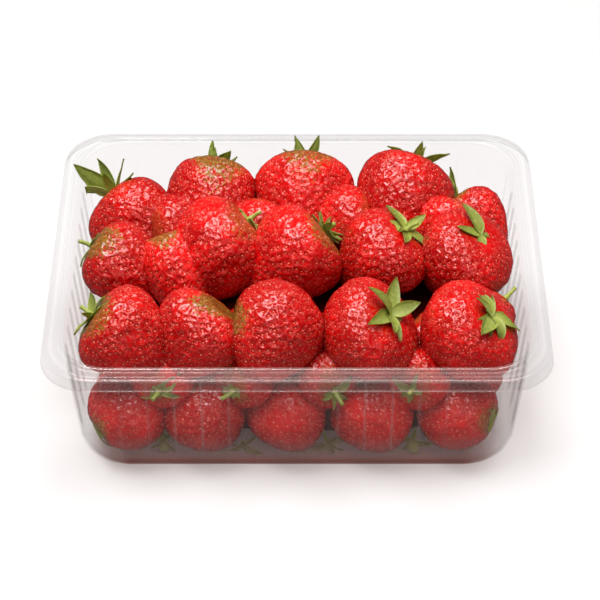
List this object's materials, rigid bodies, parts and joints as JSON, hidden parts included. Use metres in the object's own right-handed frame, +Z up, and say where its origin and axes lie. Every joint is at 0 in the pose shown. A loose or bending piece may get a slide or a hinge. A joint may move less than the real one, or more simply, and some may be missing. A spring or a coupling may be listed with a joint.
{
  "type": "punnet of strawberries",
  "caption": "Clear rectangular punnet with a rolled rim and ribbed walls, heaped with two layers of ripe red strawberries that keep their green leaves.",
  "frame": {"origin": "under the middle of the tray, on the plane that its foot stands on", "axes": "+X along the tray's long side, +Y along its short side, +Z up"},
  "size_m": [0.187, 0.15, 0.0756],
  "materials": {
    "clear_sheet": "gloss",
    "berry_flesh": "gloss"
  },
  "bodies": {
    "root": {"tray": "clear_sheet", "strawberries": "berry_flesh"}
  },
  "joints": []
}
